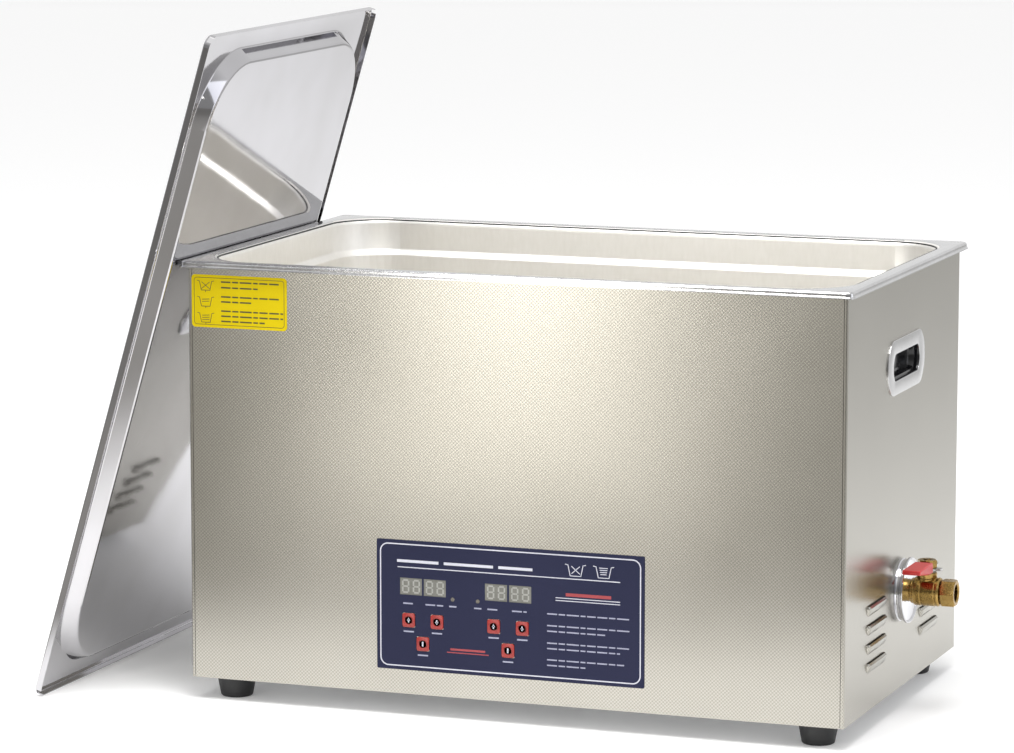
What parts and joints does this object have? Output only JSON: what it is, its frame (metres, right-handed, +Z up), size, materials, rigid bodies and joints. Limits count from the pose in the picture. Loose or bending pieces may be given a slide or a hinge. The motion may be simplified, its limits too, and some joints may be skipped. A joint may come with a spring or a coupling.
{
  "type": "ultrasonic cleaner",
  "caption": "Bench-top ultrasonic cleaner with a steel tank and case, a key panel, side handles, louvres, a lever drain valve, rubber feet and a loose lid leaning on its side.",
  "frame": {"origin": "middle of the footprint of the cleaner and its leaning lid, at bench level", "axes": "+Z up, the control panel faces -Y, the drain valve points along +X, the lid leans at -X"},
  "size_m": [0.6768, 0.356, 0.5119],
  "materials": {
    "embossed_steel": "embossed with a fine staggered dot pattern, satin",
    "plain_steel": "zinc plated or mill finish",
    "tank_steel": "deep drawn stainless steel, satin",
    "polished_steel": "polished stainless steel",
    "mirror_steel": "mirror polished stainless steel",
    "chrome_plate": "bright chrome plate",
    "brass": "cast and turned brass",
    "aluminium": "turned aluminium",
    "dark_steel": "blackened steel",
    "piezo_ceramic": "silvered piezoelectric ceramic",
    "black_rubber": "moulded rubber",
    "black_plastic": "moulded",
    "gloss_black_plastic": "moulded, glossy",
    "overlay_film": "printed polyester film, satin",
    "label_film": "printed vinyl film",
    "display_window": "grey display window",
    "led_lens": "diffusing lens",
    "red_key": "embossed polyester film",
    "red_sleeve": "dipped PVC sleeve",
    "circuit_board": "glass epoxy with solder resist",
    "silicone_pad": "silicone heating pad",
    "transformer_core": "ferrite core",
    "capacitor_sleeve": "shrink sleeve",
    "ptfe": "turned PTFE"
  },
  "bodies": {
    "cleaner": {"front_panel": "embossed_steel", "rear_panel": "embossed_steel", "left_side_panel": "embossed_steel", "right_side_panel": "embossed_steel", "base_plate": "plain_steel", "tank": "tank_steel", "rim_gasket": "black_rubber", "panel_overlay": "overlay_film", "notice_label": "label_film", "display_temperature": "display_window", "display_time": "display_window", "indicator_leds": "led_lens", "key_switches": "black_plastic", "control_board": "circuit_board", "board_spacers": "plain_steel", "left_handle_plate": "polished_steel", "right_handle_plate": "polished_steel", "left_handle_cup": "gloss_black_plastic", "right_handle_cup": "gloss_black_plastic", "foot_front_left": "black_rubber", "foot_front_right": "black_rubber", "foot_rear_left": "black_rubber", "foot_rear_right": "black_rubber", "case_screws": "plain_steel", "transducer_front_masses": "aluminium", "transducer_piezo_rings": "piezo_ceramic", "transducer_back_masses": "plain_steel", "transducer_bolts": "dark_steel", "heater_pads": "silicone_pad", "temperature_sensor": "plain_steel", "generator_board": "circuit_board", "heat_sink": "aluminium", "drive_transformer": "transformer_core", "capacitors": "capacitor_sleeve", "fan_frame": "black_plastic", "fan_guard": "chrome_plate", "inlet_socket": "black_plastic", "switch_housing": "black_plastic", "drain_fitting": "polished_steel", "drain_pipe": "plain_steel", "drain_lock_nuts": "brass", "escutcheon": "chrome_plate", "valve_body": "brass", "valve_end_fitting": "brass", "valve_seats": "ptfe"},
    "lid": {"lid_sheet": "mirror_steel", "lid_handle": "polished_steel"},
    "valve_lever": {"valve_ball": "chrome_plate", "valve_stem": "brass", "lever_plate": "plain_steel", "lever_sleeve": "red_sleeve", "lever_nut": "brass"},
    "power_rocker": {"power_rocker": "gloss_black_plastic"},
    "fan_rotor": {"fan_rotor": "black_plastic"},
    "key_temp_up": {"key_temp_up": "red_key"},
    "key_temp_down": {"key_temp_down": "red_key"},
    "key_heat_power": {"key_heat_power": "red_key"},
    "key_time_up": {"key_time_up": "red_key"},
    "key_time_down": {"key_time_down": "red_key"},
    "key_timer_power": {"key_timer_power": "red_key"}
  },
  "joints": [
    {"name": "lid_lift", "type": "slide", "parent": "cleaner", "child": "lid", "axis": [0, 0, 1], "range_m": [0, 0.35]},
    {"name": "valve_turn", "type": "hinge", "parent": "cleaner", "child": "valve_lever", "pos_m": [0.31544, 0.0155, 0.105], "axis": [0, 0, 1], "range_deg": [0, 90]},
    {"name": "power_switch", "type": "hinge", "parent": "cleaner", "child": "power_rocker", "pos_m": [0.18744, 0.17, 0.098], "axis": [1, 0, 0], "range_deg": [-20, 0]},
    {"name": "fan_spin", "type": "hinge", "parent": "cleaner", "child": "fan_rotor", "pos_m": [-0.11256, 0.1605, 0.068], "axis": [0, 1, 0], "continuous": true},
    {"name": "key_temp_up_press", "type": "slide", "parent": "cleaner", "child": "key_temp_up", "axis": [0, 1, 0], "range_m": [0, 0.0004], "stiffness_N_per_m": 2500},
    {"name": "key_temp_down_press", "type": "slide", "parent": "cleaner", "child": "key_temp_down", "axis": [0, 1, 0], "range_m": [0, 0.0004], "stiffness_N_per_m": 2500},
    {"name": "key_heat_power_press", "type": "slide", "parent": "cleaner", "child": "key_heat_power", "axis": [0, 1, 0], "range_m": [0, 0.0004], "stiffness_N_per_m": 2500},
    {"name": "key_time_up_press", "type": "slide", "parent": "cleaner", "child": "key_time_up", "axis": [0, 1, 0], "range_m": [0, 0.0004], "stiffness_N_per_m": 2500},
    {"name": "key_time_down_press", "type": "slide", "parent": "cleaner", "child": "key_time_down", "axis": [0, 1, 0], "range_m": [0, 0.0004], "stiffness_N_per_m": 2500},
    {"name": "key_timer_power_press", "type": "slide", "parent": "cleaner", "child": "key_timer_power", "axis": [0, 1, 0], "range_m": [0, 0.0004], "stiffness_N_per_m": 2500}
  ]
}
